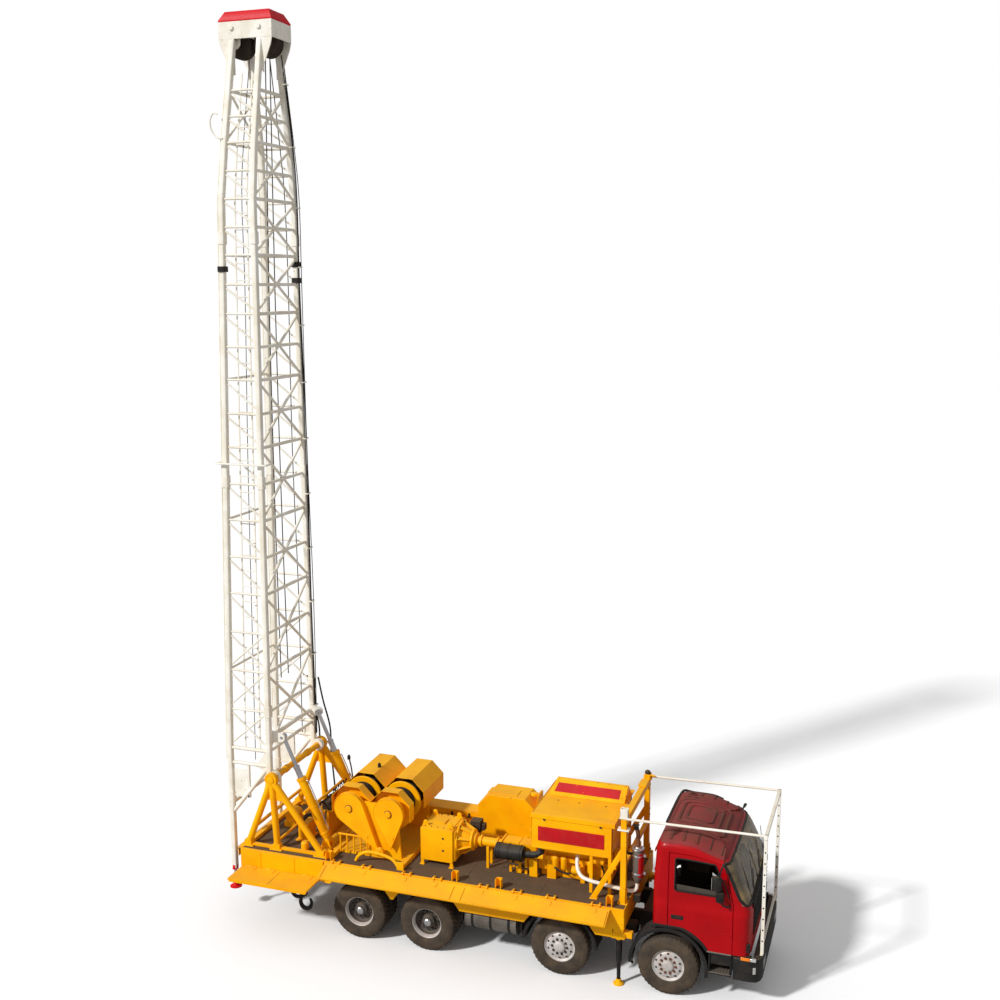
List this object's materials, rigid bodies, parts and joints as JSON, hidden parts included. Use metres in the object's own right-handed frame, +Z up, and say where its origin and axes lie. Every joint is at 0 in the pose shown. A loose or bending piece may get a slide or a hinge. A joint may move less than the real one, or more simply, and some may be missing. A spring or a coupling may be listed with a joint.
{
  "type": "workover rig",
  "caption": "Eight-by-four cab-over truck carrying a raised lattice mast on A-frames, with drawworks, deck engine, mast rest and folding side walkways.",
  "frame": {"origin": "on the ground, below the middle of the overall length and width", "axes": "+X is the truck's front, +Y its left side, +Z up"},
  "size_m": [10.41, 3.69, 16.99],
  "materials": {
    "yellow_paint": "worn gloss paint",
    "red_paint": "worn gloss paint",
    "white_paint": "dusty satin paint",
    "deck_paint": "matt, dusty",
    "black_paint": "satin",
    "cast_parts": "dusty",
    "rim_paint": "worn, rusty",
    "tyre_rubber": "dusty",
    "polished_steel": "bright",
    "seat_trim": "dark",
    "tinted_glass": "dusty"
  },
  "bodies": {
    "truck": {"a_frames": "yellow_paint", "bumper": "black_paint", "cab_interior": "seat_trim", "cab_shell": "red_paint", "chassis_frame": "deck_paint", "deck": "deck_paint", "drawworks_frame": "yellow_paint", "engine_block": "cast_parts", "engine_hood": "yellow_paint", "exhaust": "polished_steel", "front_axle_1": "cast_parts", "front_axle_2": "cast_parts", "front_jacks": "yellow_paint", "fuel_tank": "polished_steel", "gearbox": "yellow_paint", "mast_rest": "yellow_paint", "oil_tank_and_toolbox": "yellow_paint", "rear_bogie": "cast_parts", "truck_engine": "cast_parts", "windscreen": "tinted_glass"},
    "wheel_axle_1_right": {"tyre_axle_1_right": "tyre_rubber", "rim_axle_1_right": "rim_paint"},
    "knuckle_axle_1_right": {"knuckle_axle_1_right": "cast_parts"},
    "wheel_axle_1_left": {"tyre_axle_1_left": "tyre_rubber", "rim_axle_1_left": "rim_paint"},
    "knuckle_axle_1_left": {"knuckle_axle_1_left": "cast_parts"},
    "wheel_axle_2_right": {"tyre_axle_2_right": "tyre_rubber", "rim_axle_2_right": "rim_paint"},
    "knuckle_axle_2_right": {"knuckle_axle_2_right": "cast_parts"},
    "wheel_axle_2_left": {"tyre_axle_2_left": "tyre_rubber", "rim_axle_2_left": "rim_paint"},
    "knuckle_axle_2_left": {"knuckle_axle_2_left": "cast_parts"},
    "wheel_axle_3_right": {"tyre_axle_3_right": "tyre_rubber", "rim_axle_3_right": "rim_paint"},
    "wheel_axle_3_left": {"tyre_axle_3_left": "tyre_rubber", "rim_axle_3_left": "rim_paint"},
    "wheel_axle_4_right": {"tyre_axle_4_right": "tyre_rubber", "rim_axle_4_right": "rim_paint"},
    "wheel_axle_4_left": {"tyre_axle_4_left": "tyre_rubber", "rim_axle_4_left": "rim_paint"},
    "mast": {"mast_front": "white_paint", "mast_side_right": "white_paint", "mast_side_left": "white_paint", "crown_block": "white_paint"},
    "sheaves_front": {"sheaves_front": "rim_paint"},
    "sheaves_rear": {"sheaves_rear": "rim_paint"},
    "ram_barrel_right": {"ram_barrel_right": "yellow_paint"},
    "ram_stage_right": {"ram_stage_right": "polished_steel"},
    "ram_rod_right": {"ram_rod_right": "polished_steel"},
    "ram_barrel_left": {"ram_barrel_left": "yellow_paint"},
    "ram_stage_left": {"ram_stage_left": "polished_steel"},
    "ram_rod_left": {"ram_rod_left": "polished_steel"},
    "walkway_right": {"walkway_right": "yellow_paint"},
    "side_panel_right": {"side_panel_right": "yellow_paint"},
    "door_right": {"door_right": "red_paint"},
    "walkway_left": {"walkway_left": "yellow_paint"},
    "side_panel_left": {"side_panel_left": "yellow_paint"},
    "door_left": {"door_left": "red_paint"},
    "drum_rear": {"drum_rear": "yellow_paint"},
    "drum_front": {"drum_front": "yellow_paint"}
  },
  "joints": [
    {"name": "steer_axle_1_right", "type": "hinge", "parent": "truck", "child": "knuckle_axle_1_right", "pos_m": [3.605, -0.86, 0.54], "axis": [0, 0, 1], "range_deg": [-35, 35]},
    {"name": "wheel_axle_1_right_spin", "type": "hinge", "parent": "knuckle_axle_1_right", "child": "wheel_axle_1_right", "pos_m": [3.605, -1.07, 0.54], "axis": [0, 1, 0], "continuous": true},
    {"name": "steer_axle_1_left", "type": "hinge", "parent": "truck", "child": "knuckle_axle_1_left", "pos_m": [3.605, 0.86, 0.54], "axis": [0, 0, 1], "range_deg": [-35, 35]},
    {"name": "wheel_axle_1_left_spin", "type": "hinge", "parent": "knuckle_axle_1_left", "child": "wheel_axle_1_left", "pos_m": [3.605, 1.07, 0.54], "axis": [0, 1, 0], "continuous": true},
    {"name": "steer_axle_2_right", "type": "hinge", "parent": "truck", "child": "knuckle_axle_2_right", "pos_m": [1.655, -0.86, 0.54], "axis": [0, 0, 1], "range_deg": [-24.5, 24.5]},
    {"name": "wheel_axle_2_right_spin", "type": "hinge", "parent": "knuckle_axle_2_right", "child": "wheel_axle_2_right", "pos_m": [1.655, -1.07, 0.54], "axis": [0, 1, 0], "continuous": true},
    {"name": "steer_axle_2_left", "type": "hinge", "parent": "truck", "child": "knuckle_axle_2_left", "pos_m": [1.655, 0.86, 0.54], "axis": [0, 0, 1], "range_deg": [-24.5, 24.5]},
    {"name": "wheel_axle_2_left_spin", "type": "hinge", "parent": "knuckle_axle_2_left", "child": "wheel_axle_2_left", "pos_m": [1.655, 1.07, 0.54], "axis": [0, 1, 0], "continuous": true},
    {"name": "wheel_axle_3_right_spin", "type": "hinge", "parent": "truck", "child": "wheel_axle_3_right", "pos_m": [-0.895, -1.07, 0.54], "axis": [0, 1, 0], "continuous": true},
    {"name": "wheel_axle_3_left_spin", "type": "hinge", "parent": "truck", "child": "wheel_axle_3_left", "pos_m": [-0.895, 1.07, 0.54], "axis": [0, 1, 0], "continuous": true},
    {"name": "wheel_axle_4_right_spin", "type": "hinge", "parent": "truck", "child": "wheel_axle_4_right", "pos_m": [-2.265, -1.07, 0.54], "axis": [0, 1, 0], "continuous": true},
    {"name": "wheel_axle_4_left_spin", "type": "hinge", "parent": "truck", "child": "wheel_axle_4_left", "pos_m": [-2.265, 1.07, 0.54], "axis": [0, 1, 0], "continuous": true},
    {"name": "mast_raise", "type": "hinge", "parent": "truck", "child": "mast", "pos_m": [-4.135, 0, 2.85], "axis": [0, 1, 0], "range_deg": [0, 86]},
    {"name": "sheaves_front_spin", "type": "hinge", "parent": "mast", "child": "sheaves_front", "pos_m": [-4.235, 0, 16.45], "axis": [0, 1, 0], "continuous": true},
    {"name": "sheaves_rear_spin", "type": "hinge", "parent": "mast", "child": "sheaves_rear", "pos_m": [-4.785, 0, 16.45], "axis": [0, 1, 0], "continuous": true},
    {"name": "ram_barrel_right_tilt", "type": "hinge", "parent": "truck", "child": "ram_barrel_right", "pos_m": [-3.135, -0.72, 1.63], "axis": [0, 1, 0], "range_deg": [-1, 13.89]},
    {"name": "ram_stage_right_slide", "type": "slide", "parent": "ram_barrel_right", "child": "ram_stage_right", "axis": [-0.4044, 0, 0.9146], "range_m": [-0.5102, 0.01]},
    {"name": "ram_rod_right_slide", "type": "slide", "parent": "ram_stage_right", "child": "ram_rod_right", "axis": [-0.4044, 0, 0.9146], "range_m": [-0.5102, 0.01]},
    {"name": "ram_barrel_left_tilt", "type": "hinge", "parent": "truck", "child": "ram_barrel_left", "pos_m": [-3.135, 0.72, 1.63], "axis": [0, 1, 0], "range_deg": [-1, 13.89]},
    {"name": "ram_stage_left_slide", "type": "slide", "parent": "ram_barrel_left", "child": "ram_stage_left", "axis": [-0.4044, 0, 0.9146], "range_m": [-0.5102, 0.01]},
    {"name": "ram_rod_left_slide", "type": "slide", "parent": "ram_stage_left", "child": "ram_rod_left", "axis": [-0.4044, 0, 0.9146], "range_m": [-0.5102, 0.01]},
    {"name": "walkway_right_fold", "type": "hinge", "parent": "truck", "child": "walkway_right", "pos_m": [-4.695, -1.275, 1.115], "axis": [-1, 0, 0], "range_deg": [0, 88]},
    {"name": "side_panel_right_fold", "type": "hinge", "parent": "truck", "child": "side_panel_right", "pos_m": [-2.945, -1.2356, 1.425], "axis": [-1, 0, 0], "range_deg": [0, 110]},
    {"name": "door_right_open", "type": "hinge", "parent": "truck", "child": "door_right", "pos_m": [4.725, -1.212, 1.4], "axis": [0, 0, 1], "range_deg": [0, 68]},
    {"name": "walkway_left_fold", "type": "hinge", "parent": "truck", "child": "walkway_left", "pos_m": [-4.695, 1.275, 1.115], "axis": [1, 0, 0], "range_deg": [0, 88]},
    {"name": "side_panel_left_fold", "type": "hinge", "parent": "truck", "child": "side_panel_left", "pos_m": [-2.945, 1.2356, 1.425], "axis": [1, 0, 0], "range_deg": [0, 110]},
    {"name": "door_left_open", "type": "hinge", "parent": "truck", "child": "door_left", "pos_m": [4.725, 1.212, 1.4], "axis": [0, 0, -1], "range_deg": [0, 68]},
    {"name": "drum_rear_spin", "type": "hinge", "parent": "truck", "child": "drum_rear", "pos_m": [-2.605, 0, 2.4], "axis": [0, 1, 0], "continuous": true},
    {"name": "drum_front_spin", "type": "hinge", "parent": "truck", "child": "drum_front", "pos_m": [-1.795, 0, 2.4], "axis": [0, 1, 0], "continuous": true}
  ],
  "couplings": [
    {"joint": "steer_axle_1_left", "follows": "steer_axle_1_right", "ratio": 1},
    {"joint": "steer_axle_2_right", "follows": "steer_axle_1_right", "ratio": 0.7},
    {"joint": "steer_axle_2_left", "follows": "steer_axle_1_right", "ratio": 0.7},
    {"joint": "ram_barrel_right_tilt", "follows": "mast_raise", "ratio": 0.14993},
    {"joint": "ram_stage_right_slide", "follows": "mast_raise", "m_per_rad": -0.33326},
    {"joint": "ram_rod_right_slide", "follows": "mast_raise", "m_per_rad": -0.33326},
    {"joint": "ram_barrel_left_tilt", "follows": "mast_raise", "ratio": 0.14993},
    {"joint": "ram_stage_left_slide", "follows": "mast_raise", "m_per_rad": -0.33326},
    {"joint": "ram_rod_left_slide", "follows": "mast_raise", "m_per_rad": -0.33326}
  ]
}
